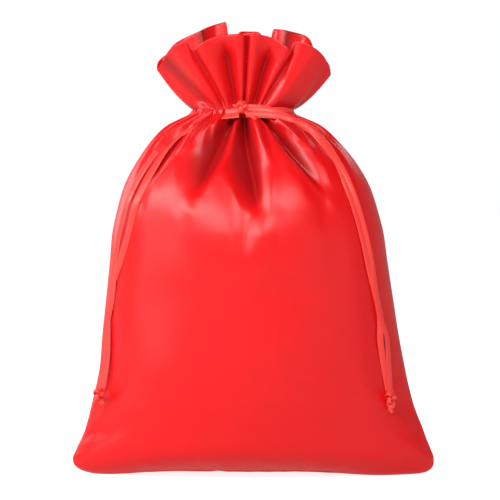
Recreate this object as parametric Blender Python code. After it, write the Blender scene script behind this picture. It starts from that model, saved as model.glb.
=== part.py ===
"""Kinchaku drawstring pouch: a stuffed satin bag, cinched at the neck by two ribbon drawstrings.

The frame: metres, +Z up, the front faces -Y, and the origin is on the floor under the middle of the bag.
The bag is one folded and sewn piece of satin. Its belly is filled, its neck is gathered tight, and the
collar above the neck is an open ruffle. The drawstrings come round the neck, are tied once in front, and
leave that knot as two pairs of strands. Each pair lies over a shoulder, hangs down the side of the bag
and ends in a knot.
"""

import math

import bmesh
import bpy
import numpy as np

MM = 0.001

# Driving dimensions, in millimetres
NECK_HEIGHT = 163.5         # floor to the drawstrings
NECK_HALF_WIDTH = 20.0
NECK_HALF_DEPTH = 10.5
NECK_LEAN = -4.8            # the neck stands this far to the left of the base's middle
COLLAR_TIP_HALF_WIDTH = 37.0
COLLAR_TIP_HEIGHT = 181.0   # the collar's left and right tips
COLLAR_FRONT_HEIGHT = 196.5
COLLAR_BACK_HEIGHT = 202.5
COLLAR_HALF_DEPTH = 17.0
COLLAR_WALL = 1.6
COLLAR_FLOOR = 169.0        # where the gathered cloth closes the funnel
RUFFLES = 11
RUFFLE_DEPTH = 2.6
BASE_ARCH = 2.4             # the bottom's middle stands this far off the floor
ARCH_HALF_LENGTH = 38.0     # and the flat feet start this far out
ARCH_FADES_AT = 18.0        # height at which the arch no longer lifts the cloth
FOLD_DEPTH = 3.0            # how far the folds under the neck sink in
RIBBON_WIDTH = 3.0          # flat satin ribbon
CORD_THICKNESS = 2.4        # the same ribbon, loosely curled, as a round strand
BAND_CLEAR = 2.6            # the drawstring's turn round the neck, outside the narrowest cloth
BAND_THICKNESS = 0.9

# The filled belly: height, half width, half depth, and how sharp its side edges are
# (1 is an ellipse, 2 is two parabolas that meet in an edge).
BELLY = (
    (0.0, 71.0, 15.0, 1.5),
    (1.5, 77.5, 20.0, 1.55),
    (6.0, 80.8, 25.0, 1.6),
    (16.0, 78.3, 29.5, 1.6),
    (33.0, 72.7, 34.0, 1.5),
    (60.0, 67.5, 37.5, 1.3),
    (96.0, 62.8, 39.5, 1.12),
    (115.0, 59.8, 38.0, 1.04),
    (128.0, 55.6, 34.5, 1.0),
    (137.0, 51.3, 30.5, 1.0),
    (146.0, 45.3, 25.5, 1.0),
    (152.0, 39.0, 20.5, 1.0),
    (157.0, 31.5, 16.5, 1.0),
    (160.0, 25.0, 13.2, 1.0),
    (161.8, 21.2, 11.2, 1.0),
    (NECK_HEIGHT, NECK_HALF_WIDTH, NECK_HALF_DEPTH, 1.0),
)
BELLY_HEIGHTS = (
    0.0, 0.6, 2.0, 4.5, 8.0, 13.0, 20.0, 29.0, 40.0, 52.0, 64.0, 76.0, 88.0, 99.0, 108.0, 115.5,
    122.0, 128.0, 133.5, 138.5, 143.0, 147.0, 150.5, 153.5, 156.0, 158.2, 160.0, 161.7, NECK_HEIGHT,
)
# The folds that run down from the neck: angle from the right-hand edge (the front is negative) and
# half spread, in degrees, and the height where each one ends.
FOLDS = (
    (-148.0, 13.0, 124.0),
    (-116.0, 14.0, 122.0),
    (-85.0, 15.0, 115.0),
    (-49.0, 14.0, 127.0),
    (45.0, 15.0, 124.0),
    (88.0, 15.0, 116.0),
    (132.0, 15.0, 122.0),
)
AROUND = 96                 # points round the bag
SHARES = (0.08, 0.2, 0.36, 0.54, 0.72, 0.88, 1.0)   # the collar's loops, from the neck to the rim

# The ribbons' routes, in millimetres, from the front knot to the knot at their end
RIGHT_INNER = (
    (-1.0, -15.0, 162.2), (7.0, -14.8, 161.7), (14.0, -13.5, 160.4), (20.0, -12.5, 158.2),
    (25.5, -13.0, 154.6), (30.0, -15.0, 149.6), (34.0, -18.0, 143.0), (38.5, -21.0, 134.5),
    (42.5, -23.5, 124.5), (46.0, -24.5, 113.0), (49.0, -23.8, 101.0), (51.5, -22.3, 89.0),
    (54.0, -20.6, 77.0), (55.5, -19.6, 67.0), (56.6, -18.7, 57.0), (58.0, -17.5, 47.0),
    (59.6, -16.5, 40.0),
)
RIGHT_OUTER = (
    (-1.0, -15.0, 165.2), (8.0, -14.6, 164.7), (15.5, -12.5, 163.3), (22.5, -9.2, 160.6),
    (28.5, -8.3, 156.8), (33.0, -11.0, 151.4), (37.0, -15.5, 144.5), (41.5, -18.3, 136.0),
    (45.5, -20.5, 126.0), (49.0, -21.2, 114.5), (52.0, -20.5, 102.5), (54.5, -19.0, 90.5),
    (57.0, -17.2, 78.5), (59.3, -15.7, 67.5), (60.8, -14.8, 57.0), (61.9, -14.5, 47.0),
    (62.4, -14.4, 40.0),
)
LEFT_INNER = (
    (-9.0, -15.0, 162.2), (-16.0, -14.6, 161.5), (-23.0, -13.4, 160.0), (-30.0, -12.8, 156.6),
    (-36.0, -13.6, 151.5), (-40.5, -15.5, 145.5), (-45.0, -17.3, 138.0), (-49.5, -19.4, 130.0),
    (-53.2, -21.0, 121.0), (-56.0, -20.4, 110.0), (-58.5, -18.5, 99.0), (-61.0, -15.9, 88.0),
    (-63.0, -13.8, 77.5), (-63.6, -13.2, 67.5), (-63.5, -13.5, 57.0), (-64.8, -12.6, 47.0),
    (-66.6, -11.0, 40.6),
)
LEFT_OUTER = (
    (-9.0, -15.0, 165.2), (-16.5, -14.2, 164.7), (-24.0, -11.3, 163.3), (-32.0, -7.6, 160.0),
    (-38.5, -8.6, 154.5), (-43.5, -11.3, 148.0), (-48.0, -13.4, 140.5), (-52.5, -15.3, 132.0),
    (-56.3, -17.0, 122.5), (-59.5, -15.8, 111.5), (-62.3, -13.1, 100.0), (-64.6, -10.1, 88.5),
    (-66.6, -7.3, 77.0), (-68.2, -5.5, 66.5), (-69.5, -4.9, 56.0), (-70.4, -5.6, 47.0),
    (-70.4, -7.0, 40.6),
)
FRONT_KNOT = (-5.0, -15.4, 163.7)
RIGHT_KNOT = (61.1, -17.9, 34.8)
LEFT_KNOT = (-68.9, -12.4, 35.4)
STRAND_POINTS = 26          # along a strand's solid


def smooth_columns(table, at):
    """The table's columns at the heights in at, by cubic curves that never overshoot."""
    table = np.array(table, float)
    x, y = table[:, 0], table[:, 1:]
    step = np.diff(x)[:, None]
    slope = np.diff(y, axis=0) / step
    both = slope[1:] * slope[:-1]
    inner = np.where(both > 0, 2 * both / (slope[1:] + slope[:-1] + 1e-12), 0.0)
    tangent = np.vstack([slope[:1], inner, slope[-1:]])
    i = np.clip(np.searchsorted(x, at, side="right") - 1, 0, len(x) - 2)
    h = step[i]
    t = (at - x[i])[:, None] / h
    return (
        (2 * t**3 - 3 * t**2 + 1) * y[i]
        + (t**3 - 2 * t**2 + t) * h * tangent[i]
        + (3 * t**2 - 2 * t**3) * y[i + 1]
        + (t**3 - t**2) * h * tangent[i + 1]
    )


def ease(t):
    """0 to 1 with level ends."""
    t = np.clip(t, 0.0, 1.0)
    return t * t * (3 - 2 * t)


def belly_ring(z, angle):
    """One level loop of the filled belly, with the folds that run down from the neck."""
    half_width, half_depth, edge = smooth_columns(BELLY, np.array([z]))[0]
    inward = np.zeros_like(angle)
    for at, spread, end in FOLDS:
        off = (np.degrees(angle) - at + 180) % 360 - 180
        along = ease((z - end) / 12) * ease((NECK_HEIGHT + 4 - z) / 14)
        inward += FOLD_DEPTH * np.exp(-2 * (off / spread) ** 2) * along
    lean = NECK_LEAN * (z / NECK_HEIGHT) ** 1.6
    sine = np.sin(angle)
    x = lean + (half_width - inward) * np.cos(angle)
    y = (half_depth - inward) * np.sign(sine) * np.abs(sine) ** edge
    lift = BASE_ARCH * (1 - ease(np.abs(x) / ARCH_HALF_LENGTH)) * (1 - ease(z / ARCH_FADES_AT))
    return np.stack([x, y, z + lift], axis=1)


def collar_ring(share, angle, inset):
    """A loop of the collar: share is 0 at the neck and 1 at the rim, and inset moves it inwards."""
    flare = share**0.85
    ruffle = RUFFLE_DEPTH * share * np.cos(RUFFLES * angle + 0.6)
    wide = NECK_HALF_WIDTH + (COLLAR_TIP_HALF_WIDTH - NECK_HALF_WIDTH) * flare
    deep = NECK_HALF_DEPTH + (COLLAR_HALF_DEPTH - NECK_HALF_DEPTH) * flare
    middle = np.where(np.sin(angle) < 0, COLLAR_FRONT_HEIGHT, COLLAR_BACK_HEIGHT)
    rim = COLLAR_TIP_HEIGHT + (middle - COLLAR_TIP_HEIGHT) * np.abs(np.sin(angle)) ** 0.8
    x = NECK_LEAN + (wide + ruffle - inset) * np.cos(angle)
    y = (deep + ruffle - inset) * np.sin(angle)
    z = NECK_HEIGHT + (rim - NECK_HEIGHT) * share
    return np.stack([x, y, z], axis=1)


def new_material(name, colour, roughness):
    material = bpy.data.materials.new(name)
    material.use_nodes = True
    shader = material.node_tree.nodes["Principled BSDF"]
    shader.inputs["Base Color"].default_value = (*colour, 1.0)
    shader.inputs["Roughness"].default_value = roughness
    shader.inputs["Metallic"].default_value = 0.0
    return material


def new_object(name, bm, material):
    """An object of the closed mesh in bm, with its faces out and its round parts smooth."""
    bmesh.ops.triangulate(bm, faces=bm.faces)
    bmesh.ops.recalc_face_normals(bm, faces=bm.faces)
    mesh = bpy.data.meshes.new(name)
    bm.to_mesh(mesh)
    bm.free()
    mesh.shade_smooth()
    mesh.set_sharp_from_angle(angle=math.radians(50))
    mesh.materials.append(material)
    made = bpy.data.objects.new(name, mesh)
    bpy.context.scene.collection.objects.link(made)
    return made


def bridged(bm, rings):
    """Rows of vertices through the rings, each joined to the next."""
    rows = [[bm.verts.new(point * MM) for point in ring] for ring in rings]
    count = len(rows[0])
    for lower, upper in zip(rows, rows[1:]):
        for i in range(count):
            j = (i + 1) % count
            bm.faces.new((lower[i], lower[j], upper[j], upper[i]))
    return rows


def close_across(bm, row):
    """Close a loop with strips that run from its front to its back."""
    count = len(row)
    for i in range(count // 2):
        strip = []
        for k in (i, i + 1, count - i - 1, count - i):
            if row[k % count] not in strip:
                strip.append(row[k % count])
        bm.faces.new(strip)


def make_pouch(satin):
    """The bag: belly, neck, collar outside, rim, collar inside, and the gathered cloth that closes it."""
    angle = np.arange(AROUND) * 2 * math.pi / AROUND
    outside = [belly_ring(z, angle) for z in BELLY_HEIGHTS]
    outside += [collar_ring(share, angle, 0.0) for share in SHARES]
    inside = [collar_ring(share, angle, COLLAR_WALL) for share in SHARES[::-1]]
    inside = [ring for ring in inside if ring[:, 2].min() > COLLAR_FLOOR]
    bottom = collar_ring(SHARES[0], angle, COLLAR_WALL)
    bottom[:, 2] = COLLAR_FLOOR
    bottom[:, :2] = (inside[-1][:, :2] - (NECK_LEAN, 0)) * 0.72 + (NECK_LEAN, 0)
    bm = bmesh.new()
    rows = bridged(bm, outside + inside + [bottom])
    close_across(bm, rows[0])
    close_across(bm, rows[-1])
    return new_object("pouch", bm, satin)


def make_band(name, start, end, ribbon):
    """A drawstring's turn round the neck, from one angle to another, in degrees."""
    low = NECK_HEIGHT + 0.4 - RIBBON_WIDTH / 2
    high = low + RIBBON_WIDTH
    angle = np.radians(np.linspace(start, end, 15))
    inner, outer = BAND_CLEAR, BAND_CLEAR + BAND_THICKNESS
    bm = bmesh.new()
    rings = []
    for a in angle:
        section = []
        for out, z in ((inner, low), (outer, low), (outer, high), (inner, high)):
            x = NECK_LEAN + (NECK_HALF_WIDTH + out) * math.cos(a)
            y = (NECK_HALF_DEPTH + out) * math.sin(a)
            section.append((x, y, z))
        rings.append(np.array(section))
    rows = bridged(bm, rings)
    bm.faces.new(rows[0])
    bm.faces.new(rows[-1])
    return new_object(name, bm, ribbon)


def make_knot(name, place, size, turns, ribbon):
    """A small tight knot: an egg with the ribbon's turns standing out as ridges."""
    up = np.linspace(0, math.pi, 15)[1:-1]
    angle = np.arange(16) * 2 * math.pi / 16
    rings = []
    for u in up:
        bulge = 1 + 0.10 * np.cos(turns * 2 * (u + 0.25 * np.sin(angle)))
        x = size[0] / 2 * math.sin(u) * bulge * np.cos(angle)
        y = size[1] / 2 * math.sin(u) * bulge * np.sin(angle)
        z = np.full_like(angle, -size[2] / 2 * math.cos(u))
        rings.append(np.stack([x, y, z], axis=1) + place)
    bm = bmesh.new()
    rows = bridged(bm, rings)
    bm.faces.new(rows[0])
    bm.faces.new(rows[-1])
    return new_object(name, bm, ribbon)


def smooth_route(points, count):
    """Evenly spaced points on one smooth curve through the route's own points."""
    points = np.array(points, float)
    padded = np.vstack([2 * points[0] - points[1], points, 2 * points[-1] - points[-2]])
    t = np.linspace(0, 1, 24, endpoint=False)[:, None]
    pieces = []
    for a, b, c, d in zip(padded, padded[1:], padded[2:], padded[3:]):
        pieces.append(
            0.5 * (2 * b + (c - a) * t + (2 * a - 5 * b + 4 * c - d) * t**2 + (3 * b - a - 3 * c + d) * t**3)
        )
    curve = np.vstack(pieces + [points[-1:]])
    along = np.concatenate([[0], np.cumsum(np.linalg.norm(np.diff(curve, axis=0), axis=1))])
    at = np.linspace(0, along[-1], count)
    return np.stack([np.interp(at, along, curve[:, k]) for k in range(3)], axis=1)


def make_strand(name, route, ribbon):
    """One hanging strand of ribbon, from the front knot to the knot at its end."""
    curve = bpy.data.curves.new(name, "CURVE")
    curve.dimensions = "3D"
    curve.bevel_depth = CORD_THICKNESS / 2 * MM
    curve.bevel_resolution = 2
    curve.use_fill_caps = True
    spline = curve.splines.new("POLY")
    points = smooth_route(route, STRAND_POINTS) * MM
    spline.points.add(len(points) - 1)
    for point, place in zip(spline.points, points):
        point.co = (*place, 1.0)
    curve.materials.append(ribbon)
    made = bpy.data.objects.new(name, curve)
    bpy.context.scene.collection.objects.link(made)
    return made


def main():
    for old in list(bpy.data.objects):
        bpy.data.objects.remove(old, do_unlink=True)
    satin = new_material("red_satin", (0.80, 0.02, 0.025), 0.35)
    ribbon = new_material("red_satin_ribbon", (0.90, 0.04, 0.03), 0.3)
    make_pouch(satin)
    make_band("neck_tie_right", -4.0, -72.0, ribbon)
    make_band("neck_tie_left", -176.0, -108.0, ribbon)
    make_knot("front_knot", FRONT_KNOT, (6.6, 3.2, 8.0), 2, ribbon)
    make_strand("ribbon_right_inner", RIGHT_INNER, ribbon)
    make_strand("ribbon_right_outer", RIGHT_OUTER, ribbon)
    make_strand("ribbon_left_inner", LEFT_INNER, ribbon)
    make_strand("ribbon_left_outer", LEFT_OUTER, ribbon)
    make_knot("ribbon_right_knot", RIGHT_KNOT, (6.0, 5.0, 8.5), 2, ribbon)
    make_knot("ribbon_left_knot", LEFT_KNOT, (6.0, 5.0, 8.0), 2, ribbon)


main()
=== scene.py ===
"""Kinchaku drawstring pouch: the looks of a stuffed satin bag, cinched by two ribbon drawstrings.

Lengths are in millimetres where a name or a table gives them, and in metres in the meshes. +Z is up and
the front faces -Y. An angle round the bag is 0 at its right side, and negative at the front.
"""

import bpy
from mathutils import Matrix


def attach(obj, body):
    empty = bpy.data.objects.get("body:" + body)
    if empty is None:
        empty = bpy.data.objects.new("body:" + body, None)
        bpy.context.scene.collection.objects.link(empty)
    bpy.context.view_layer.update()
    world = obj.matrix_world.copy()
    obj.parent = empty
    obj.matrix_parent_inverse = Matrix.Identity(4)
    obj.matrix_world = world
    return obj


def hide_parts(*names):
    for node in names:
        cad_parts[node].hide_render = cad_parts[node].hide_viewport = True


bl_info = {
    "name": "Kinchaku Drawstring Pouch",
    "version": (1, 0, 0),
    "blender": (4, 5, 0),
    "location": "3D View > Sidebar > Pouch",
    "description": "Builds a stuffed satin drawstring pouch with a ruffled collar and ribbon drawstrings",
    "category": "Add Mesh",
}

import math

import bpy
import numpy as np
from mathutils import Vector

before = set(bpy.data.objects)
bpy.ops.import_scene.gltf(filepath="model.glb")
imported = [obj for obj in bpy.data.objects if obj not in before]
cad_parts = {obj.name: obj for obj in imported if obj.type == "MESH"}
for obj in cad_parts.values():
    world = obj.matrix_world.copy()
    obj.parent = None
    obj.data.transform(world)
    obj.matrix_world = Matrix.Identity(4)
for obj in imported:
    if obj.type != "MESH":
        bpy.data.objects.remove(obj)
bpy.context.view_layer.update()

MM = 0.001

# The bag's outline: height, half width, half depth, how sharp the side edge is, and lean to the right
PROFILE = (
    (0.0, 73.5, 14.5, 1.5, 1.6),
    (0.8, 77.0, 17.0, 1.5, 1.2),
    (2.0, 79.2, 19.8, 1.5, 0.6),
    (4.0, 80.8, 22.5, 1.55, 0.1),
    (6.8, 81.2, 25.0, 1.6, -0.1),
    (11.0, 80.2, 27.5, 1.6, 0.0),
    (20.0, 76.9, 30.5, 1.6, 0.2),
    (33.0, 72.7, 34.0, 1.5, -0.4),
    (47.0, 69.4, 36.2, 1.4, -0.6),
    (64.0, 67.0, 37.8, 1.3, -1.4),
    (80.0, 64.9, 38.9, 1.2, -1.8),
    (96.0, 62.8, 39.5, 1.12, -2.2),
    (108.0, 61.3, 39.0, 1.06, -2.5),
    (118.0, 58.9, 37.4, 1.03, -2.7),
    (128.0, 55.8, 34.5, 1.0, -2.9),
    (137.0, 51.5, 30.5, 1.0, -3.2),
    (146.0, 45.5, 25.5, 1.0, -3.7),
    (152.0, 39.4, 20.8, 1.0, -4.0),
    (157.0, 32.9, 17.2, 1.0, -4.2),
    (160.0, 26.8, 14.2, 1.0, -4.5),
    (161.8, 23.0, 12.6, 1.0, -4.8),
    (163.5, 21.8, 11.9, 1.0, -4.8),
)
NECK = 163.5
NECK_HALF = (21.8, 11.9)
NECK_LEAN = -4.8
BASE_ARCH = 2.3             # the bottom's front edge stands this far off the floor in the middle
ARCH_HALF_LENGTH = 44.0
ARCH_FADES_AT = 18.0

# The folds under the neck: angle at the neck and at the lower end, height of the lower end, depth, half
# width at its widest, lean, which is how much gentler the slope towards rising angles is, and how round
# its bottom is
FOLDS = (
    (-138.0, -149.0, 126.0, 5.0, 9.0, 0.0, 0.2),
    (-106.0, -118.0, 126.0, 10.6, 11.0, -0.3, 0.16),
    (-93.0, -86.5, 118.5, 12.0, 9.6, -0.16, 0.35),
    (-69.0, -50.5, 128.0, 8.6, 7.0, 0.25, 0.15),
    (-38.0, -31.0, 137.0, 3.6, 6.0, -0.2, 0.2),
    (38.0, 33.0, 123.0, 5.0, 6.6, -0.3, 0.1),
    (66.0, 61.0, 118.0, 9.4, 8.8, 0.35, 0.15),
    (92.0, 95.0, 116.0, 9.4, 8.8, -0.35, 0.25),
    (116.0, 126.0, 121.0, 9.4, 8.8, 0.3, 0.15),
    (144.0, 151.0, 128.0, 4.6, 5.8, 0.0, 0.2),
)
# The collar's valleys and ridges: angle, depth inwards at mid height, half width in degrees, share of
# the collar's height where it fades out, and how much of it is still there at the rim
COLLAR_FOLDS = (
    (-164.0, 6.0, 16.0, 1.0, 0.8),
    (-138.0, -2.2, 8.0, 1.0, 1.0),
    (-125.0, 3.6, 3.0, 1.0, 0.9),
    (-116.0, -1.6, 5.0, 1.0, 0.8),
    (-103.5, 7.4, 7.6, 0.9, 0.05),
    (-93.5, -2.2, 4.4, 1.0, 0.7),
    (-87.2, 4.4, 1.2, 1.0, 0.9),
    (-81.0, -2.2, 4.6, 1.0, 0.7),
    (-69.5, 7.4, 7.0, 0.86, 0.05),
    (-60.5, -2.0, 4.0, 1.0, 0.8),
    (-54.0, 3.6, 3.6, 1.0, 0.6),
    (-36.0, -2.4, 13.0, 1.0, 0.6),
    (-12.0, 1.4, 8.0, 1.0, 0.5),
    (16.0, -1.6, 8.0, 1.0, 0.8),
    (31.0, 4.4, 6.5, 1.0, 1.0),
    (45.0, -1.8, 6.0, 1.0, 1.0),
    (57.0, 5.2, 5.5, 1.0, 1.0),
    (68.0, -1.8, 5.0, 1.0, 1.0),
    (76.0, 5.0, 4.0, 1.0, 1.0),
    (86.0, -1.6, 6.0, 1.0, 1.0),
    (97.0, 5.2, 4.0, 1.0, 1.0),
    (108.0, -1.8, 7.0, 1.0, 1.0),
    (122.0, 4.8, 6.0, 1.0, 1.0),
    (138.0, -1.8, 7.0, 1.0, 1.0),
    (155.0, 3.8, 7.0, 1.0, 1.0),
)
# The three lobes of the rim's back and the two dips of its front: from and to which angle, how tall, and
# over how many degrees each end fades
RIM_LOBES = (
    (232.0, 243.0, -5.0, 2.0, 16.0),
    (297.0, 305.5, -6.5, 16.0, 2.2),
    (100.5, 124.0, 12.2, 1.2, 70.0),
    (76.0, 94.0, 5.0, 5.0, 3.0),
    (29.0, 70.5, 6.8, 24.0, 1.5),
)
COLLAR_TIP = 181.0
COLLAR_RISE = (15.4, 13.8)  # how much higher than the tips the rim's front and back are
COLLAR_WIDE = 17.7          # how much further out the rim's tips are than the neck
COLLAR_DEEP = 5.8
COLLAR_CLOTH = 0.9          # two layers of satin
CREASED_FROM = 7.0          # collar folds deeper than this have a crease for a bottom

# The stuffed cloth's broad hollows and swells: angle, height, half width in degrees, half height in mm,
# and how deep
DENTS = (
    (-52, 96, 9, 34, 0.9), (-128, 96, 10, 22, 0.7), (-120, 50, 15, 12, -1.3), (-118, 80, 16, 11, 0.9),
    (-72, 84, 15, 12, 1.3), (-80, 56, 16, 10, -0.7),
    (-100, 100, 18, 12, -0.7), (-40, 40, 14, 14, -0.5), (-140, 30, 12, 12, -0.5), (-88, 20, 20, 9, 0.5),
    (60, 90, 14, 30, 0.8), (110, 70, 16, 30, -0.7), (130, 100, 10, 22, 0.7), (85, 30, 22, 12, 0.6),
)

# The bag's grid
AROUND = 480
BELLY_ROWS = 215
COLLAR_ROWS = 55
THROAT_ROWS = 9             # the collar's lowest rows, which inside make way for a funnel
THROAT_END = 0.15           # the funnel's last ring, as a share of its first
GIRTH = 0.340               # the flat bag's way round in metres, over which the weave is laid

# The cloth simulation
SIM_ROWS, SIM_COLUMNS = 2, 3    # it uses every second row and third column of the bag's grid
SIM_SCALE = 0.01            # 100 mm of bag to a metre
SIM_FRAMES = 20
SIM_SLACK = 0.02
SIM_PRESSURE = 2.0
SIM_HELD = ((-9, 1.5, 1.0), (1.5, 5, 0.6), (154, 158.5, 0.7), (158.5, 999, 1.0))  # heights and how firmly
SIM_LIMIT = 3.0             # mm
SIM_BROAD = (22, 26)        # reach of the broad part of its moves, in rows and columns
SIM_LEFT_OUT = 0.9          # how much of that broad part is left out

# The ribbons' routes, in metres, from the front knot to the knot at their end
RIGHT_INNER = (
    (-0.0010, -0.0150, 0.1622), (0.0070, -0.0148, 0.1617), (0.0140, -0.0135, 0.1604),
    (0.0200, -0.0125, 0.1582), (0.0255, -0.0130, 0.1546), (0.0300, -0.0150, 0.1496),
    (0.0340, -0.0180, 0.1430), (0.0385, -0.0210, 0.1345), (0.0425, -0.0235, 0.1245),
    (0.0460, -0.0245, 0.1130), (0.0490, -0.0238, 0.1010), (0.0515, -0.0223, 0.0890),
    (0.0540, -0.0206, 0.0770), (0.0555, -0.0196, 0.0670), (0.0566, -0.0187, 0.0570),
    (0.0580, -0.0175, 0.0470), (0.0596, -0.0165, 0.0400),
)
RIGHT_OUTER = (
    (-0.0010, -0.0150, 0.1652), (0.0080, -0.0146, 0.1647), (0.0155, -0.0125, 0.1633),
    (0.0225, -0.0092, 0.1606), (0.0285, -0.0083, 0.1568), (0.0330, -0.0110, 0.1514),
    (0.0370, -0.0155, 0.1445), (0.0415, -0.0183, 0.1360), (0.0455, -0.0205, 0.1260),
    (0.0490, -0.0212, 0.1145), (0.0520, -0.0205, 0.1025), (0.0545, -0.0190, 0.0905),
    (0.0570, -0.0172, 0.0785), (0.0593, -0.0157, 0.0675), (0.0608, -0.0148, 0.0570),
    (0.0619, -0.0145, 0.0470), (0.0624, -0.0144, 0.0400),
)
LEFT_INNER = (
    (-0.0090, -0.0150, 0.1622), (-0.0160, -0.0146, 0.1615), (-0.0230, -0.0134, 0.1600),
    (-0.0300, -0.0128, 0.1566), (-0.0360, -0.0136, 0.1515), (-0.0405, -0.0155, 0.1455),
    (-0.0450, -0.0173, 0.1380), (-0.0495, -0.0194, 0.1300), (-0.0532, -0.0210, 0.1210),
    (-0.0560, -0.0204, 0.1100), (-0.0585, -0.0185, 0.0990), (-0.0610, -0.0159, 0.0880),
    (-0.0630, -0.0138, 0.0775), (-0.0636, -0.0132, 0.0675), (-0.0635, -0.0135, 0.0570),
    (-0.0648, -0.0126, 0.0470), (-0.0666, -0.0110, 0.0406),
)
LEFT_OUTER = (
    (-0.0090, -0.0150, 0.1652), (-0.0165, -0.0142, 0.1647), (-0.0240, -0.0113, 0.1633),
    (-0.0320, -0.0076, 0.1600), (-0.0385, -0.0086, 0.1545), (-0.0435, -0.0113, 0.1480),
    (-0.0480, -0.0134, 0.1405), (-0.0525, -0.0153, 0.1320), (-0.0563, -0.0170, 0.1225),
    (-0.0595, -0.0158, 0.1115), (-0.0623, -0.0131, 0.1000), (-0.0646, -0.0101, 0.0885),
    (-0.0666, -0.0073, 0.0770), (-0.0682, -0.0055, 0.0665), (-0.0695, -0.0049, 0.0560),
    (-0.0704, -0.0056, 0.0470), (-0.0704, -0.0070, 0.0406),
)
STRAND_POINTS = 180
RIBBON_SIDES = 14           # points round a ribbon's section

# Each side's routes, and along them, 0 to 1: the openness, and how much deeper than elsewhere the inner
# and the outer ribbon are sunk in the cloth, in mm
STRANDS = {
    "right": (
        (RIGHT_INNER, RIGHT_OUTER),
        (
            (0.0, 1.0, 0.3, 1.2), (0.08, 0.7, 0.8, 1.9), (0.18, 0.3, 0.9, 1.5), (0.4, 0.35, 0.0, 0.0),
            (0.62, 0.4, 0.0, 0.0), (0.72, 0.05, 0.0, 0.0), (0.78, -0.1, 0.0, 0.0),
            (0.86, 0.7, -0.2, -0.2), (0.93, 0.5, 0.0, 0.0), (1.0, 0.2, 0.0, 0.0),
        ),
    ),
    "left": (
        (LEFT_INNER, LEFT_OUTER),
        (
            (0.0, 1.0, 0.6, 3.4), (0.08, 0.8, 2.6, 4.0), (0.2, 0.6, 2.2, 3.0), (0.32, 0.9, 0.7, 0.9),
            (0.5, 1.1, 0.0, 0.0), (0.62, 0.6, 0.0, 0.0), (0.74, -0.4, 0.0, 0.0), (0.84, 0.2, -0.2, -0.2),
            (0.93, 0.3, 0.0, 0.0), (1.0, 0.1, 0.0, 0.0),
        ),
    ),
}
# From where along each side's strands they turn a little to the front
FACE_FRONT_FROM = {"right": -1.0, "left": 0.24}

# The turn round the neck: from and to which angle, and how far out from the neck in mm. On the left the
# gathered cloth closes over it.
NECK_TIES = {"right": (-4, -84, 0.9), "left": (-176, -97, -2.4)}
FRONT_KNOT = (-4.9, -15.2, 164.8)
FRONT_KNOT_SIZE = (4.4, 2.6, 4.8)
# The front knot's loose end, in metres
FRONT_TAIL = (
    (-0.0040, -0.0152, 0.1632), (-0.0026, -0.0166, 0.1614),
    (-0.0004, -0.0170, 0.1600), (0.0008, -0.0168, 0.1588),
)
# Each end knot's middle and size in mm, and its tails' points from that middle
END_KNOTS = {
    "right": (
        (60.9, -17.6, 36.0), (4.6, 4.0, 5.4),
        (
            ((0.2, 0.0, -1.6), (1.1, -0.3, -3.4), (-0.3, -0.6, -5.0), (0.9, -0.4, -6.6)),
            ((-0.4, 0.6, -1.4), (-0.9, 0.5, -3.0), (0.1, 0.4, -4.6)),
        ),
    ),
    "left": (
        (-68.8, -12.2, 37.0), (4.6, 4.0, 5.0),
        (
            ((-0.3, 0.0, -1.4), (-1.2, -0.4, -3.0), (-2.4, -0.2, -4.8)),
            ((0.4, 0.2, -1.4), (0.6, -0.2, -3.2), (1.6, -0.3, -4.6)),
        ),
    ),
}

# The stage
AMBIENT = (0.34, 0.03)      # the surroundings' light at the horizon and overhead
UPLIGHT = 0.38              # the white floor's own light on the bag
LIT_HEIGHT = 0.11           # metres up the bag, where the lamps aim
# The lamps: degrees to the right of the front and above the lit height, metres away, the two sides in
# metres, and the power in watts, which the window has from the settings
WINDOW = ("left_window", (-45, 30.5, 1.0), (1.5, 0.16))
LAMPS = (
    ("right_softbox", (19, 33, 1.0), (0.4, 0.16), 3.2),
    ("low_left_window", (-60, 2, 1.0), (0.5, 0.4), 1.3),
    ("low_right_window", (48, 0, 1.0), (0.5, 0.4), 0.4),
    ("back_left_window", (-128, 18, 1.0), (0.5, 0.6), 2.4),
    ("back_softbox", (155, 36, 1.2), (0.8, 0.5), 3.0),
)
CAMERA_LENS = 176
CAMERA_TARGET = (-0.0016, 0, 0.1008)
CAMERA_AWAY = 1.1
CAMERA_TILT = 1.5           # degrees down


# Curves and grids


def smooth_columns(table, at):
    """The table's columns at the places in at, by cubic curves that pass through it and never overshoot."""
    table = np.array(table, float)
    x, y = table[:, 0], table[:, 1:]
    step = np.diff(x)[:, None]
    slope = np.diff(y, axis=0) / step
    both = slope[1:] * slope[:-1]
    inner = np.where(both > 0, 2 * both / (slope[1:] + slope[:-1] + 1e-12), 0.0)
    tangent = np.vstack([slope[:1], inner, slope[-1:]])
    at = np.asarray(at, float).ravel()
    i = np.clip(np.searchsorted(x, at, side="right") - 1, 0, len(x) - 2)
    h = step[i]
    t = (at - x[i])[:, None] / h
    return (
        (2 * t**3 - 3 * t**2 + 1) * y[i]
        + (t**3 - 2 * t**2 + t) * h * tangent[i]
        + (3 * t**2 - 2 * t**3) * y[i + 1]
        + (t**3 - t**2) * h * tangent[i + 1]
    )


def ease(t):
    """0 to 1 with level ends: 3t^2 - 2t^3."""
    t = np.clip(t, 0.0, 1.0)
    return t * t * (3 - 2 * t)


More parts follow.
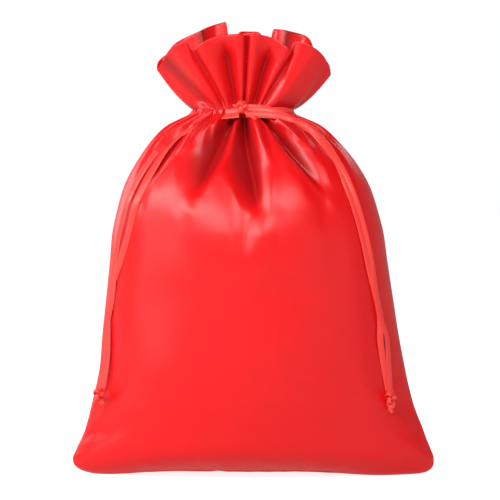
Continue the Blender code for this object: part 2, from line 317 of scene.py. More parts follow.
def spaced(points, count):
    """Evenly spaced points on one smooth (Catmull-Rom) curve through the given ones."""
    points = np.array(points, float)
    padded = np.vstack([2 * points[0] - points[1], points, 2 * points[-1] - points[-2]])
    t = np.linspace(0, 1, 24, endpoint=False)[:, None, None]
    a, b, c, d = padded[:-3], padded[1:-2], padded[2:-1], padded[3:]
    bends = (3 * b - a - 3 * c + d) * t**3
    curve = 0.5 * (2 * b + (c - a) * t + (2 * a - 5 * b + 4 * c - d) * t**2 + bends)
    curve = np.vstack([curve.transpose(1, 0, 2).reshape(-1, points.shape[1]), points[-1:]])
    along = np.concatenate([[0], np.cumsum(np.linalg.norm(np.diff(curve[:, :3], axis=0), axis=1))])
    at = np.linspace(0, along[-1], count)
    return np.stack([np.interp(at, along, column) for column in curve.T], axis=1)


def angle_off(angle, at):
    """Degrees from the angle at to each angle in radians, from -180 to 180."""
    return (np.degrees(angle) - at + 180) % 360 - 180


def grid_object(name, points, uv, material, across=False, sharp=None, shade=None):
    """A closed mesh over a grid of rows and columns that closes round the columns.

    Each row is joined to the next by four-sided faces. The first and last rows are closed by one face,
    or, where across is true, by strips that run from the row's front half to its back half. shade is the
    painted shade of each point, 0 to 1, deepest in folds, kept as a point attribute that the satin reads.
    """
    rows, columns = points.shape[:2]
    index = np.arange(rows * columns).reshape(rows, columns)
    after = np.roll(index, -1, axis=1)
    quads = np.stack([index[:-1], after[:-1], after[1:], index[1:]], axis=-1).reshape(-1, 4)
    corners = [tuple(face) for face in quads.tolist()]
    for row, turned in ((index[0], True), (index[-1], False)):
        if across:
            half = columns // 2
            front = row[: half + 1]
            back = np.concatenate([row[:1], row[:half - 1:-1]])
            strips = np.stack([front[:-1], front[1:], back[1:], back[:-1]], axis=-1)
            strips = [tuple(dict.fromkeys(strip)) for strip in strips.tolist()]
            corners += [strip[::-1] for strip in strips] if turned else strips
        else:
            corners.append(tuple(row[::-1].tolist()) if turned else tuple(row.tolist()))
    flat = points.reshape(-1, 3)
    a, b, c, d = (flat[quads[:, k]] for k in range(4))
    middle = flat.mean(axis=0)
    volume = np.einsum("ij,ij->", a - middle, np.cross(b - middle, c - middle))
    volume += np.einsum("ij,ij->", a - middle, np.cross(c - middle, d - middle))
    if volume < 0:
        corners = [corner[::-1] for corner in corners]
    mesh = bpy.data.meshes.new(name)
    mesh.from_pydata(flat.tolist(), [], corners)
    layer = mesh.uv_layers.new(name="cloth")
    loops = np.empty(len(mesh.loops), np.int32)
    mesh.loops.foreach_get("vertex_index", loops)
    place = uv.reshape(-1, 2)[loops]
    # A face that crosses the last column has its far corners one turn further on
    starts = np.empty(len(mesh.polygons), np.int32)
    totals = np.empty(len(mesh.polygons), np.int32)
    mesh.polygons.foreach_get("loop_start", starts)
    mesh.polygons.foreach_get("loop_total", totals)
    face = np.repeat(np.arange(len(starts)), totals)
    turn = 2 * uv[:, -1, 0] - uv[:, -2, 0]
    most = np.maximum.reduceat(place[:, 0], starts)[face]
    low = (most - place[:, 0]) > 0.5 * turn.max()
    place[low & (loops % columns == 0), 0] = turn[(loops // columns)][low & (loops % columns == 0)]
    layer.data.foreach_set("uv", place.ravel())
    if shade is not None:
        # Painted shade, which the satin reads to darken its colour
        mesh.attributes.new("painted_fold_shade", "FLOAT", "POINT").data.foreach_set("value", shade.ravel())
    mesh.shade_smooth()
    if sharp is not None:
        mesh.set_sharp_from_angle(angle=math.radians(sharp))
    if material:
        mesh.materials.append(material)
    made = bpy.data.objects.new(name, mesh)
    bpy.context.scene.collection.objects.link(made)
    return made


# Materials


def linear(colour):
    """An sRGB hex colour as linear red, green, blue and alpha."""
    parts = np.array([int(colour[i : i + 2], 16) for i in (1, 3, 5)]) / 255
    parts = np.where(parts <= 0.04045, parts / 12.92, ((parts + 0.055) / 1.055) ** 2.4)
    return (*parts.tolist(), 1.0)


def add_node(tree, kind, settings=None, inputs=None, links=None):
    """A node with its settings, its input values, and the sockets that feed it."""
    node = tree.nodes.new(kind)
    for key, value in (settings or {}).items():
        setattr(node, key, value)
    for key, value in (inputs or {}).items():
        node.inputs[key].default_value = value
    for key, socket in (links or {}).items():
        tree.links.new(socket, node.inputs[key])
    return node


def satin(name, colour, shade, fold, roughness, weave):
    """Woven polyester satin: long floating threads that lie close, so it has a broad soft gloss.

    weave is the width of a drawn thread in metres. Real threads are finer, so the bump is faint.
    """
    material = bpy.data.materials.get(name)
    if material:
        return material
    material = bpy.data.materials.new(name)
    material.use_nodes = True
    tree = material.node_tree
    tree.nodes.clear()
    place = add_node(tree, "ShaderNodeUVMap", {"uv_map": "cloth"})
    # Gives the eye the fine diagonal rib of satin
    threads = add_node(
        tree, "ShaderNodeTexWave",
        {"wave_type": "BANDS", "bands_direction": "DIAGONAL", "wave_profile": "SIN"},
        {"Scale": 0.05 / weave, "Distortion": 0.6, "Detail": 1.0, "Detail Scale": 1.5},
        {"Vector": place.outputs["UV"]},
    )
    # Gives the eye the slight unevenness of dyed cloth
    mottle = add_node(
        tree, "ShaderNodeTexNoise", {"noise_dimensions": "2D"},
        {"Scale": 1 / (9 * MM), "Detail": 3.0, "Roughness": 0.5}, {"Vector": place.outputs["UV"]},
    )
    tone = add_node(
        tree, "ShaderNodeMix", {"data_type": "RGBA"}, {"A": colour, "B": shade},
        {"Factor": mottle.outputs["Fac"]},
    )
    # Painted shade: the colour is darkened towards the fold colour by the bag's painted fold shade, where
    # folds and the gathered neck lie in shadow
    deep = add_node(tree, "ShaderNodeAttribute", {"attribute_name": "painted_fold_shade"})
    tone = add_node(
        tree, "ShaderNodeMix", {"data_type": "RGBA"}, {"B": fold},
        {"A": tone.outputs["Result"], "Factor": deep.outputs["Fac"]},
    )
    rib = add_node(
        tree, "ShaderNodeBump", None, {"Strength": 0.06, "Distance": 0.05 * MM},
        {"Height": threads.outputs["Fac"]},
    )
    shader = add_node(
        tree, "ShaderNodeBsdfPrincipled", None,
        {"Roughness": roughness, "Metallic": 0.0, "IOR": 1.5, "Specular IOR Level": 0.36},
        {"Base Color": tone.outputs["Result"], "Normal": rib.outputs["Normal"]},
    )
    add_node(tree, "ShaderNodeOutputMaterial", None, None, {"Surface": shader.outputs["BSDF"]})
    return material


def ribbon_satin(settings):
    """Single-face satin ribbon, a little paler than the bag's cloth."""
    colour, fold = settings.ribbon_colour, settings.fold_shadow_colour
    return satin("single_face_satin_ribbon", colour, colour, fold, 0.34, 0.8 * settings.weave)


# The bag


def fold_depth(angle, z, profile):
    """How far the folds that run from the neck sink each point of the belly, in mm, and the painted shade
    they give it.

    A fold is a valley about a line from its neck angle to its end angle. Its half width grows from the
    neck to half of its length and shrinks to its lower end. Across it, the depth is (1 - r)^1.5 with r the
    distance in half widths, its bottom rounded by the table's last column, so its edges are soft. It ends
    in a short step with a faint lip. The shade is painted shade, by which the satin's colour is darkened:
    0 on the open cloth, 1 deep in a fold, and also growing towards the neck.
    """
    half_width, half_depth = profile[:, :1], profile[:, 1:2]
    reach = np.sqrt((half_width * np.sin(angle)) ** 2 + (half_depth * np.cos(angle)) ** 2)
    depth = np.zeros(np.broadcast(angle, z).shape)
    # Painted shade: the cloth darkens towards the gathered neck, and below, deep in each fold
    shade = 0.45 * ease((z - 132) / 26) + depth
    for at_neck, at_end, end, most, half, lean, bottom in FOLDS:
        t = np.clip((NECK - z) / (NECK - end), 0, 1.6)
        off = np.radians(angle_off(angle, at_neck + (at_end - at_neck) * t)) * reach + 0.8 * lean * half
        wide = half * (0.3 + 0.7 * ease(t / 0.6)) * (1 - 0.42 * ease((t - 0.5) / 0.5))
        wide = wide * (1 + lean * np.tanh(off / (0.4 * half)))
        across = np.maximum(1 + bottom - np.sqrt((off / wide) ** 2 + bottom**2), 0) ** 1.5
        ending = np.logaddexp(0, 9 * (1 - (np.maximum(t - 0.45, 0) / 0.55) ** 2)) / 9
        lip = 0.05 * np.exp(-((off / wide) ** 2) - ((t - 1.2) / 0.15) ** 2)
        depth += most * (across * ending - lip) * ease(t / 0.3 + 0.25)
        shade = np.maximum(shade, np.minimum(0.18 * most * across * ending, 1) * ease(t / 0.2 + 0.4))
    # Small pleats close to the neck
    close = ease((z - 143) / 16)
    turn = angle + 0.10 * np.sin(3 * angle + 0.7) + 0.06 * np.sin(7 * angle + 2.1)
    return depth + close * (0.8 * np.cos(29 * turn) + 0.5 * np.cos(47 * turn + 1.0)), shade


def soft_dents(angle, z):
    """Broad shallow hollows and swells of the stuffed cloth: a sum of soft spots, in millimetres."""
    dents = np.zeros(np.broadcast(angle, z).shape)
    for at, height, wide, tall, deep in DENTS:
        off = angle_off(angle, at)
        dents += deep * np.exp(-((off / wide) ** 2) - ((z - height) / tall) ** 2)
    return dents


def belly_grid(angle, z):
    """The filled belly: at each height a rounded outline, x = a cos, y = b sin to the side edge's power.

    It is sunk by the folds and dents, leans by the profile, and its bottom's middle is lifted off the
    floor by the arch.
    """
    profile = smooth_columns(PROFILE, z)
    half_width, half_depth, edge, lean = (profile[:, k : k + 1] for k in range(4))
    z = z[:, None]
    angle = angle[None, :]
    inward, shade = fold_depth(angle, z, profile)
    inward = inward + soft_dents(angle, z) * ease(z / 12)
    sine = np.sin(angle)
    x = lean + (half_width - inward) * np.cos(angle)
    y = (half_depth - inward) * np.sign(sine) * np.abs(sine) ** edge
    lift = BASE_ARCH * (1 - ease((np.abs(x + 6) - 24) / ARCH_HALF_LENGTH)) * (1 - ease(z / ARCH_FADES_AT))
    lift = lift * ease((4 - y) / 14)
    return np.stack([x, y, z + lift], axis=-1), shade


def collar_grid(angle, share, inset):
    """The collar: a fan from the neck's ellipse to the rim's, sunk and raised by radial folds, with its
    painted shade.

    The rim's height is the tip's plus about 16 mm times the size of the angle's sine, with lobes and dips
    whose ends fade as tanh does. Across a fold its depth is exp(-(distance in half widths)^p), with p
    close to 1 where its bottom is a crease; the front folds draw together towards the neck. inset moves
    the surface inwards for the cloth's inner side.
    """
    share = share[:, None]
    angle = angle[None, :]
    sine = np.abs(np.sin(angle))
    front = np.sin(angle) < 0
    right = np.maximum(np.cos(angle), 0)
    rim = COLLAR_TIP - 1.7 * right**6 + np.where(front, *COLLAR_RISE) * sine + 3.4 * sine * (1 - sine)
    degrees = np.degrees(angle)
    for start, end, tall, first, last in RIM_LOBES:
        rise = 1 + np.tanh(2 * (degrees - start) / first)
        rim = rim + tall / 4 * rise * (1 - np.tanh(2 * (degrees - end) / last))
    flare = share ** (0.8 - 0.12 * right)
    wide = NECK_HALF[0] + COLLAR_WIDE * flare - inset
    deep = NECK_HALF[1] + COLLAR_DEEP * flare - inset
    inward = np.zeros(np.broadcast(angle, share).shape)
    # Painted shade: the collar's foot, where it is gathered into the neck, is darkened, and below, the
    # bottom of each inward fold
    shade = 0.55 * (1 - ease(share / 0.35)) + inward
    for at, most, half, end, at_rim in COLLAR_FOLDS:
        closer = 0.4 * (1 - share) ** 1.3 * (-90 - at) if abs(at + 90) < 75 else 0.0
        off = angle_off(angle, at + closer)
        fade = 1 - (1 - at_rim) * ease((share - end + 0.22) / 0.3)
        grow = ease(share / 0.22 + 0.3) * (0.75 + 0.25 * share)
        power = 1.12 if most > CREASED_FROM else 1.6
        valley = np.exp(-(np.abs(off) / half) ** power) * fade * grow
        inward += most * valley
        shade = np.maximum(shade, np.minimum(max(most, 0) / 5, 1) * (1.7 * valley - 0.5))
    x = NECK_LEAN + (wide - 0.55 * inward) * np.cos(angle)
    y = (deep - inward) * np.sin(angle)
    z = NECK + (rim - NECK) * share
    return np.stack([x, y, z], axis=-1), np.minimum(shade, 1)


def bag_grid():
    """The whole bag as one closed grid, from the bottom up over the rim and down inside the collar."""
    angle = np.arange(AROUND) * 2 * math.pi / AROUND
    fine = np.linspace(0, NECK, 2000)
    outline = smooth_columns(PROFILE, fine)
    along = np.concatenate([[0], np.cumsum(np.hypot(np.diff(fine), np.diff(outline[:, 0])))])
    heights = np.interp(np.linspace(0, along[-1], BELLY_ROWS), along, fine)
    body, body_shade = belly_grid(angle, heights)
    share = np.linspace(0, 1, COLLAR_ROWS + 1)[1:]
    outside, outside_shade = collar_grid(angle, share, 0.0)
    inside, inside_shade = collar_grid(angle, share[::-1][:-THROAT_ROWS], COLLAR_CLOTH)
    top = (outside[-1:] + inside[:1]) / 2 + (0, 0, 0.35)
    throat = inside[-1:].copy()
    middle = np.array([NECK_LEAN, 0, 0])
    shrink = np.linspace(1, THROAT_END, THROAT_ROWS)[1:, None, None]
    funnel = np.concatenate([(throat[0] - middle) * np.array([s, s, 1]) + middle for s in shrink.ravel()])
    funnel = funnel.reshape(len(shrink), AROUND, 3)
    funnel[:, :, 2] -= 2.2 * (1 - shrink[:, :, 0])
    body = body + settled(body)
    # Painted shade: the funnel down the throat is darkened in full, for the shadow inside the bag's mouth
    shades = (body_shade, outside_shade, outside_shade[-1:], inside_shade, np.ones(funnel.shape[:2]))
    return np.concatenate([body, outside, top, inside, funnel]), np.concatenate(shades)


def simulated(start):
    """Where a grid of the bag's cloth goes, in mm, when it is simulated under its filling's push.

    It is held at the neck and along the foot, and its cloth is a little too large for it, so that it
    swells and puckers between the folds. The object it is tried on is removed again.
    """
    uv = np.zeros(start.shape[:2] + (2,))
    uv[..., 0] = np.arange(start.shape[1]) / start.shape[1]
    trial = grid_object("cloth_trial", start * SIM_SCALE, uv, None, across=True)
    height = start[..., 2].ravel()
    held = trial.vertex_groups.new(name="held")
    for low, high, weight in SIM_HELD:
        held.add(np.flatnonzero((height >= low) & (height < high)).tolist(), weight, "REPLACE")
    cloth = trial.modifiers.new("cloth", "CLOTH")
    given = cloth.settings
    given.quality = 6
    given.mass = 0.2
    given.tension_stiffness = given.compression_stiffness = 25
    given.shear_stiffness = 12
    given.bending_stiffness = 0.6
    given.air_damping = 4
    given.shrink_min = given.shrink_max = -SIM_SLACK
    given.use_pressure = True
    given.uniform_pressure_force = SIM_PRESSURE
    given.vertex_group_mass = "held"
    given.pin_stiffness = 4
    given.effector_weights.gravity = 0.15
    cloth.collision_settings.use_collision = False
    cloth.point_cache.frame_start, cloth.point_cache.frame_end = 1, SIM_FRAMES
    scene = bpy.context.scene
    for number in range(1, SIM_FRAMES + 1):
        scene.frame_set(number)
    shape = trial.evaluated_get(bpy.context.evaluated_depsgraph_get())
    flat = np.empty(start.size)
    shape.data.vertices.foreach_get("co", flat)
    scene.frame_set(1)
    mesh = trial.data
    bpy.data.objects.remove(trial)
    bpy.data.meshes.remove(mesh)
    return flat.reshape(start.shape) / SIM_SCALE


def settled(body):
    """How far each point of the bag's body moves, in mm, when its cloth is simulated on a coarser grid.

    The moves are limited to a given size by d / (1 + |d| / limit), and spread over the full grid by linear
    steps and a blur. Most of their broad part, their mean under a wide bell curve, is left out, so the
    outline stays and the puckers remain.
    """
    rows = np.unique(np.concatenate([np.arange(0, len(body), SIM_ROWS), [len(body) - 1]]))
    start = body[rows][:, ::SIM_COLUMNS]
    moved = simulated(start) - start
    if not np.isfinite(moved).all():
        raise RuntimeError("The cloth simulation gave no shape")
    moved = moved / (1 + np.linalg.norm(moved, axis=2, keepdims=True) / SIM_LIMIT)
    place = np.interp(np.arange(len(body)), rows, np.arange(len(rows)))
    i = np.minimum(place.astype(int), len(rows) - 2)
    f = (place - i)[:, None, None]
    moved = moved[i] * (1 - f) + moved[i + 1] * f
    place = np.arange(AROUND) / SIM_COLUMNS
    j = place.astype(int)
    f = (place - j)[None, :, None]
    moved = moved[:, j] * (1 - f) + moved[:, (j + 1) % (AROUND // SIM_COLUMNS)] * f
    for _ in range(6):
        moved = (np.roll(moved, 1, axis=1) + 2 * moved + np.roll(moved, -1, axis=1)) / 4
        moved[1:-1] = (moved[:-2] + 2 * moved[1:-1] + moved[2:]) / 4
    apart = np.abs(np.subtract.outer(np.arange(AROUND), np.arange(AROUND)))
    around = np.exp(-((np.minimum(apart, AROUND - apart) / SIM_BROAD[1]) ** 2))
    up = np.exp(-((np.subtract.outer(np.arange(len(body)), np.arange(len(body))) / SIM_BROAD[0]) ** 2))
    broad = np.einsum("ij,jkc->ikc", up / up.sum(axis=1, keepdims=True), moved)
    broad = np.einsum("kl,ilc->ikc", around / around.sum(axis=1, keepdims=True), broad)
    return (moved - SIM_LEFT_OUT * broad) * ease((NECK - body[..., 2:]) / 8) * ease(body[..., 2:] / 3 + 0.1)


# The ribbons


def outward(points):
    """The direction away from the bag at points beside it: the slope of (x/a)^2 + (y/b)^2 there."""
    profile = smooth_columns(PROFILE, points[:, 2] / MM) * MM
    steep = smooth_columns(PROFILE, points[:, 2] / MM + 0.5) * MM
    x, y = points[:, 0] - profile[:, 3], points[:, 1]
    wide, deep = profile[:, 0], profile[:, 1]
    level = (x / wide) ** 2 + (y / deep) ** 2
    above = (x / steep[:, 0]) ** 2 + (y / steep[:, 1]) ** 2
    slope = np.stack([2 * x / wide**2, 2 * y / deep**2, (above - level) / (0.5 * MM)], axis=1)
    return slope / np.linalg.norm(slope, axis=1)[:, None]


def ribbon_points(path, faces, turn, width, thick, curl):
    """A flat ribbon carried along a path, as a grid of closed sections.

    path is the centreline, faces the direction its flat side looks, turn an angle in radians by which it
    is rolled about the path, and curl how far its edges bend back, as a share of its width. The section
    is a thin lens: w cos s across, with 0.5 thick sin s out of the flat, less the curl times across^2.
    """
    along = np.gradient(path, axis=0)
    along /= np.linalg.norm(along, axis=1)[:, None]
    out = faces - np.sum(faces * along, axis=1)[:, None] * along
    out /= np.linalg.norm(out, axis=1)[:, None]
    side = np.cross(along, out)
    turn = np.broadcast_to(turn, len(path))[:, None]
    out, side = np.cos(turn) * out + np.sin(turn) * side, np.cos(turn) * side - np.sin(turn) * out
    s = np.arange(RIBBON_SIDES) * 2 * math.pi / RIBBON_SIDES
    across = 0.5 * width * np.sign(np.cos(s)) * np.abs(np.cos(s)) ** 0.7
    lift = 0.5 * thick * np.sin(s) - curl * across**2 / width
    return path[:, None] + across[None, :, None] * side[:, None] + lift[None, :, None] * out[:, None]


def ribbon_object(name, path, faces, turn, material, width=3.0, thick=0.34, curl=0.35):
    """A ribbon of the given width and thickness in millimetres, as a closed mesh."""
    points = ribbon_points(path, faces, turn, width * MM, thick * MM, curl)
    length = np.concatenate([[0], np.cumsum(np.linalg.norm(np.diff(path, axis=0), axis=1))])
    uv = np.empty(points.shape[:2] + (2,))
    uv[..., 0] = np.arange(RIBBON_SIDES) / RIBBON_SIDES * 2 * width * MM
    uv[..., 1] = length[:, None]
    return grid_object(name, points, uv, material, sharp=60)


def overhand(count, size):
    """The path of a tied overhand knot, a trefoil opened at its top: x = sin t + 2 sin 2t and so on."""
    t = np.linspace(0.35, 2 * math.pi - 0.35, count) + math.pi / 3
    x = np.sin(t) + 2 * np.sin(2 * t)
    y = -np.sin(3 * t)
    z = np.cos(t) - 2 * np.cos(2 * t)
    return np.stack([x / 3 * size[0] / 2, y * size[1] / 2, z / 3 * size[2] / 2], axis=1)


def strand_paths(side):
    """The inner and outer ribbon of one side, as they lie: now side by side, now over each other.

    Each runs at the middle of the two routes, less or more the openness times half of what lies between
    them. Both lie close to the cloth, sunk in it by the table, and run on a little into their knots.
    """
    routes, opening = STRANDS[side]
    inner, outer = (spaced(route, STRAND_POINTS) for route in routes)
    along = np.linspace(0, 1, STRAND_POINTS)
    spread = smooth_columns(opening, along)
    middle, half = (inner + outer) / 2, (outer - inner) / 2
    away = outward(middle)
    deep_in, deep_out = (0.9 + spread[:, 1:2]) * MM, (0.5 + spread[:, 2:]) * MM
    to_knot = math.copysign(2.4 * MM, -middle[-1, 0]) * (1 - ease(along / 0.07))
    down = -2.0 * MM * ease((along - 0.93) / 0.07)
    middle = middle + np.stack([to_knot, 0 * to_knot, down], axis=1)
    return (
        middle - spread[:, :1] * half - deep_in * away,
        middle + spread[:, :1] * half - deep_out * away,
    )


def piece(made, part):
    """A ribbon piece: it rides the body and stands in for one CAD part, which is hidden."""
    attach(made, "root")
    if part:
        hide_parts(part)
    return made


# The stage


def white_studio():
    """White surroundings: plain white behind the bag, and light that fades from the horizon upwards."""
    world = bpy.data.worlds.new("white_studio")
    world.use_nodes = True
    tree = world.node_tree
    tree.nodes.clear()
    place = add_node(tree, "ShaderNodeTexCoord")
    parts = add_node(tree, "ShaderNodeSeparateXYZ", None, None, {"Vector": place.outputs["Generated"]})
    rise = add_node(
        tree, "ShaderNodeMapRange", {"interpolation_type": "SMOOTHSTEP"},
        {"From Min": 0.15, "From Max": 0.75, "To Min": AMBIENT[0], "To Max": AMBIENT[1]},
        {"Value": parts.outputs["Z"]},
    )
    sight = add_node(tree, "ShaderNodeLightPath")
    strength = add_node(
        tree, "ShaderNodeMix", {"data_type": "FLOAT"}, {"B": 1.0},
        {"Factor": sight.outputs["Is Camera Ray"], "A": rise.outputs["Result"]},
    )
    white = add_node(
        tree, "ShaderNodeBackground", None, {"Color": (1, 1, 1, 1)},
        {"Strength": strength.outputs["Result"]},
    )
    add_node(tree, "ShaderNodeOutputWorld", None, None, {"Surface": white.outputs["Background"]})
    return world


def paper_floor():
    """A white paper floor that fades into the white behind it, and lights the bag from below."""
    mesh = bpy.data.meshes.new("floor")
    mesh.from_pydata([(-9, -9, 0), (9, -9, 0), (9, 9, 0), (-9, 9, 0)], [], [(0, 1, 2, 3)])
    paper = bpy.data.materials.new("white_paper_floor")
    paper.use_nodes = True
    tree = paper.node_tree
    tree.nodes.clear()
    place = add_node(tree, "ShaderNodeTexCoord")
    away = add_node(
        tree, "ShaderNodeVectorMath", {"operation": "LENGTH"}, None, {0: place.outputs["Object"]}
    )
    glow = add_node(
        tree, "ShaderNodeMapRange", {"interpolation_type": "SMOOTHSTEP"},
        {"From Min": 0.1, "From Max": 0.7, "To Min": 0.84, "To Max": 1.0}, {"Value": away.outputs["Value"]},
    )
    sight = add_node(tree, "ShaderNodeLightPath")
    strength = add_node(
        tree, "ShaderNodeMix", {"data_type": "FLOAT"}, {"A": UPLIGHT},
        {"Factor": sight.outputs["Is Camera Ray"], "B": glow.outputs["Result"]},
    )
    shader = add_node(
        tree, "ShaderNodeBsdfPrincipled", None,
        {
            "Base Color": (0.38, 0.38, 0.38, 1), "Roughness": 0.9, "Specular IOR Level": 0.1,
            "Emission Color": (1, 1, 1, 1),
        },
        {"Emission Strength": strength.outputs["Result"]},
    )
    add_node(tree, "ShaderNodeOutputMaterial", None, None, {"Surface": shader.outputs["BSDF"]})
    mesh.materials.append(paper)
    floor = bpy.data.objects.new("floor", mesh)
    bpy.context.scene.collection.objects.link(floor)
    return floor


def softbox(name, place, size, power):
    """A rectangular lamp, placed by its turn and rise in degrees and its distance, aimed at the bag."""
    turn, rise, away = math.radians(place[0]), math.radians(place[1]), place[2]
    middle = Vector((0, 0, LIT_HEIGHT))
    way = Vector((math.sin(turn) * math.cos(rise), -math.cos(turn) * math.cos(rise), math.sin(rise)))
    light = bpy.data.lights.new(name, "AREA")
    light.shape = "RECTANGLE"
    light.size, light.size_y = size
    light.energy = power
    lamp = bpy.data.objects.new(name, light)
    lamp.location = way * away + middle
    lamp.rotation_euler = (middle - lamp.location).to_track_quat("-Z", "Y").to_euler()
    bpy.context.scene.collection.objects.link(lamp)


# The add-on


class PouchSettings(bpy.types.PropertyGroup):
    """Sizes and colours of the pouch."""

    satin_colour: bpy.props.FloatVectorProperty(
        name="Satin", description="Colour of the bag's satin", subtype="COLOR", size=4,
        min=0.0, max=1.0, default=linear("#E80E13"),
    )
    satin_shade: bpy.props.FloatVectorProperty(
        name="Satin Shade", description="Colour that the satin's broad mottle drifts to", subtype="COLOR",
        size=4, min=0.0, max=1.0, default=linear("#E00B10"),
    )
    # Painted shade: the colour the satin is darkened to deep in its folds and at the neck
    fold_shadow_colour: bpy.props.FloatVectorProperty(
        name="Fold", description="Colour deep in the folds", subtype="COLOR", size=4,
        min=0.0, max=1.0, default=linear("#AC1014"),
    )
    ribbon_colour: bpy.props.FloatVectorProperty(
        name="Ribbon", description="Colour of the ribbon drawstrings", subtype="COLOR", size=4,
        min=0.0, max=1.0, default=linear("#F7403A"),
    )
    ribbon_width: bpy.props.FloatProperty(
        name="Ribbon Width", description="Width of the drawstring ribbon", unit="LENGTH",
        min=0.002, max=0.005, default=3.1 * MM,
    )
    ribbon_thickness: bpy.props.FloatProperty(
        name="Ribbon Thickness", description="Thickness of the drawstring ribbon", unit="LENGTH",
        min=0.0002, max=0.001, default=0.36 * MM,
    )
    weave: bpy.props.FloatProperty(
        name="Weave", description="Width of one drawn thread of the satin", unit="LENGTH",
        min=0.0002, max=0.002, default=0.5 * MM,
    )
    window_power: bpy.props.FloatProperty(
        name="Window Power", description="Power of the long softbox on the left, in watts",
        min=0.0, max=40.0, default=12.2,
    )


class POUCH_OT_bag(bpy.types.Operator):
    """Build the satin bag: belly, gathered neck and ruffled collar"""

    bl_idname = "pouch.bag"
    bl_label = "Bag"

    def execute(self, context):
        settings = context.scene.pouch_settings
        points, shade = bag_grid()
        points = points * MM
        step = np.linalg.norm(np.diff(points, axis=0), axis=2).mean(axis=1)
        up = np.concatenate([[0], np.cumsum(step)])
        uv = np.empty(points.shape[:2] + (2,))
        uv[..., 0] = np.arange(AROUND) / AROUND * GIRTH
        uv[..., 1] = up[:, None]
        cloth = satin(
            "woven_polyester_satin", settings.satin_colour, settings.satin_shade, settings.fold_shadow_colour,
            0.33, settings.weave,
        )
        bag = grid_object("satin_bag", points, uv, cloth, across=True, shade=shade)
        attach(bag, "root")
        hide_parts("pouch")
        return {"FINISHED"}


class POUCH_OT_neck(bpy.types.Operator):
    """Build the ribbon round the neck and its half knot at the front"""

    bl_idname = "pouch.neck"
    bl_label = "Neck Ribbon"

    def execute(self, context):
        settings = context.scene.pouch_settings
        ribbon = ribbon_satin(settings)
        for side, (start, end, over) in NECK_TIES.items():
            angle = np.radians(np.linspace(start, end, 60))
            path = np.stack(
                [
                    NECK_LEAN + (NECK_HALF[0] + over) * np.cos(angle),
                    (NECK_HALF[1] + 0.7 + over) * np.sin(angle),
                    NECK + 0.3 + 0.9 * np.sin(angle) ** 8,
                ],
                axis=1,
            ) * MM
            faces = np.stack([np.cos(angle), 2 * np.sin(angle), 0 * angle], axis=1)
            tie = ribbon_object(f"neck_tie_{side}_satin", path, faces, 0.1, ribbon, 2.8, 0.5, 0.2)
            piece(tie, f"neck_tie_{side}")
        middle = np.array(FRONT_KNOT) * MM
        path = overhand(120, np.array(FRONT_KNOT_SIZE) * MM) + middle
        faces = path - middle + (0, -3e-4, 0)
        piece(ribbon_object("front_half_knot", path, faces, 0.0, ribbon, 2.6, 1.5, 0.2), "front_knot")
        tail = spaced(FRONT_TAIL, 24)
        faces = np.array([[0.3, -1.0, 0.2]]) * np.ones((24, 1))
        turn = np.linspace(0.2, 0.9, 24)
        piece(ribbon_object("front_tail", tail, faces, turn, ribbon, 1.8, 0.4, 0.4), None)
        return {"FINISHED"}


class POUCH_OT_end_knots(bpy.types.Operator):
    """Build the overhand knot at the end of each pair of ribbons, with its cut ends"""

    bl_idname = "pouch.end_knots"
    bl_label = "End Knots"

    def execute(self, context):
        ribbon = ribbon_satin(context.scene.pouch_settings)
        for side, (middle, size, tails) in END_KNOTS.items():
            middle = np.array(middle) * MM
            path = overhand(120, np.array(size) * MM) + middle
            faces = path - middle + (0, -1e-4, 0)
            knot = ribbon_object(f"end_knot_{side}", path, faces, 0.0, ribbon, 2.2, 1.0, 0.1)
            piece(knot, f"ribbon_{side}_knot")
            for number, tail in enumerate(tails):
                path = spaced(np.array(tail) * MM + middle, 24)
                faces = np.array([[0.2, -1.0, 0.1]]) * np.ones((24, 1))
                turn = np.linspace(0.3, -0.5, 24) * (-1) ** number
                cut = ribbon_object(f"ribbon_end_{side}_{number}", path, faces, turn, ribbon, 2.0, 0.36, 0.3)
                piece(cut, None)
        return {"FINISHED"}


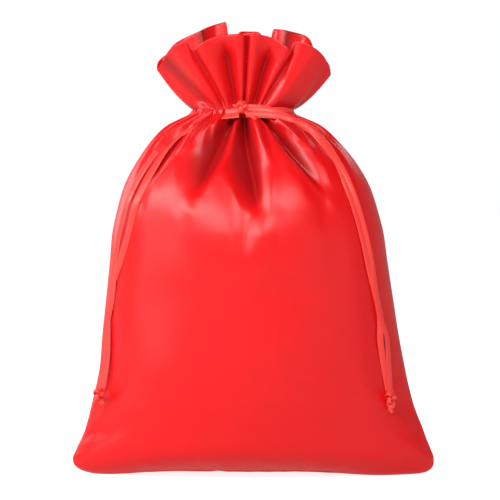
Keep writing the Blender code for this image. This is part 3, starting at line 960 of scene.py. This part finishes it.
class POUCH_OT_strands(bpy.types.Operator):
    """Build the two hanging ribbons on each side, which end at that side's knot"""

    bl_idname = "pouch.strands"
    bl_label = "Hanging Ribbons"

    def execute(self, context):
        settings = context.scene.pouch_settings
        ribbon = ribbon_satin(settings)
        t = np.linspace(0, 1, STRAND_POINTS)
        for side, twist in (("right", -1), ("left", 1)):
            forward = ease((t - FACE_FRONT_FROM[side]) / 0.2)[:, None] * (0, -0.9, 0)
            for part, path in zip(("inner", "outer"), strand_paths(side)):
                bow = 0.22 if part == "inner" else -0.2
                turn = twist * (0.3 * ease(t) - 0.08) + bow * np.sin(3 * math.pi * t)
                name = f"ribbon_{side}_{part}"
                strand = ribbon_object(
                    name + "_satin", path, outward(path) + forward, turn, ribbon,
                    settings.ribbon_width / MM, settings.ribbon_thickness / MM, 0.14,
                )
                piece(strand, name)
        return {"FINISHED"}


class POUCH_OT_stage(bpy.types.Operator):
    """Set up the white floor, the soft studio light and the camera"""

    bl_idname = "pouch.stage"
    bl_label = "Stage"

    def execute(self, context):
        scene = context.scene
        scene.view_settings.view_transform = "Standard"
        scene.world = white_studio()
        paper_floor()
        window = (*WINDOW, scene.pouch_settings.window_power)
        for name, place, size, power in (window, *LAMPS):
            softbox(name, place, size, power)
        camera = bpy.data.cameras.new("camera")
        camera.lens = CAMERA_LENS
        camera.sensor_width = 36
        eye = bpy.data.objects.new("camera", camera)
        target = Vector(CAMERA_TARGET)
        tilt = math.radians(CAMERA_TILT)
        eye.location = target + CAMERA_AWAY * Vector((0, -math.cos(tilt), math.sin(tilt)))
        eye.rotation_euler = (target - eye.location).to_track_quat("-Z", "Y").to_euler()
        scene.collection.objects.link(eye)
        scene.camera = eye
        return {"FINISHED"}


class POUCH_PT_panel(bpy.types.Panel):
    """The pouch's settings, and a button for each group of pieces"""

    bl_label = "Drawstring Pouch"
    bl_idname = "POUCH_PT_panel"
    bl_space_type = "VIEW_3D"
    bl_region_type = "UI"
    bl_category = "Pouch"

    def draw(self, context):
        settings = context.scene.pouch_settings
        for name in PouchSettings.__annotations__:
            self.layout.prop(settings, name)
        for step in STEPS:
            self.layout.operator(step.bl_idname)


STEPS = (POUCH_OT_bag, POUCH_OT_neck, POUCH_OT_end_knots, POUCH_OT_strands, POUCH_OT_stage)
CLASSES = (PouchSettings, *STEPS, POUCH_PT_panel)


def register():
    for made in CLASSES:
        bpy.utils.register_class(made)
    bpy.types.Scene.pouch_settings = bpy.props.PointerProperty(type=PouchSettings)


def unregister():
    del bpy.types.Scene.pouch_settings
    for made in reversed(CLASSES):
        bpy.utils.unregister_class(made)


def main():
    register()
    bpy.ops.pouch.bag()
    bpy.ops.pouch.neck()
    bpy.ops.pouch.end_knots()
    bpy.ops.pouch.strands()
    bpy.ops.pouch.stage()


if __name__ == "__main__":
    main()
